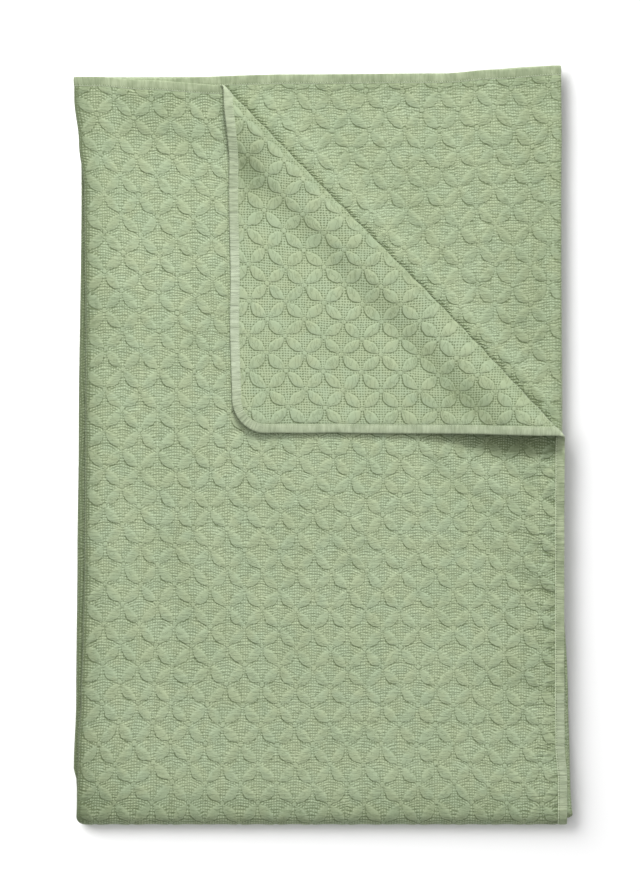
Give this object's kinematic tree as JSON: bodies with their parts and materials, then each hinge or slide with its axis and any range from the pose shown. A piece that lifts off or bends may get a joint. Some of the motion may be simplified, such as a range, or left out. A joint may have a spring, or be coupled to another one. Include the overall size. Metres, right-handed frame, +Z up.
{
  "type": "quilted bedspread",
  "caption": "Quilted bedspread with a bound edge, folded flat for the shelf, with one corner of the top layer turned back.",
  "frame": {"origin": "middle of the footprint, on the surface that the folded cloth lies on", "axes": "+Y along the folded length, from the long fold towards the hems; +X across, from the turned edge towards the top hem; +Z up"},
  "size_m": [0.866, 1.317, 0.0458],
  "materials": {
    "quilted_cloth": "matt washed cotton with raised petals on a ribbed ground",
    "binding_tape": "matt woven cotton tape, topstitched"
  },
  "bodies": {
    "root": {"quilted_panel": "quilted_cloth", "edge_binding": "binding_tape"}
  },
  "joints": []
}
